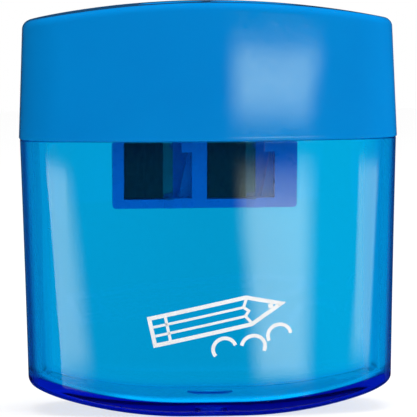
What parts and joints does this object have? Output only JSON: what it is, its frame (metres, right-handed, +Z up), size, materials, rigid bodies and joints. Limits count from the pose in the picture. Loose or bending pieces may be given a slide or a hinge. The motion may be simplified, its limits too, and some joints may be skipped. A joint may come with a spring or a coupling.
{
  "type": "pencil sharpener",
  "caption": "Hand-held pencil sharpener with an arched pull-off cap, a standard and a jumbo hole over a bladed block, and a clear container that catches the shavings.",
  "frame": {"origin": "lowest point of the container's arched bottom, under the middle of the body", "axes": "+Z up along the pencil holes, +X to the jumbo hole's side, +Y from the front face to the rear face"},
  "size_m": [0.053, 0.0252, 0.057],
  "materials": {
    "clear_plastic": "clear",
    "cap_plastic": "gloss",
    "block_plastic": "satin",
    "blade_steel": "brushed",
    "screw_steel": "satin"
  },
  "bodies": {
    "container": {"container": "clear_plastic"},
    "cap": {"cap": "cap_plastic", "sharpener_block": "block_plastic", "standard_blade": "blade_steel", "jumbo_blade": "blade_steel", "standard_screw": "screw_steel", "jumbo_screw": "screw_steel"}
  },
  "joints": [
    {"name": "cap_lift", "type": "slide", "parent": "container", "child": "cap", "axis": [0, 0, 1], "range_m": [0, 0.025]}
  ]
}
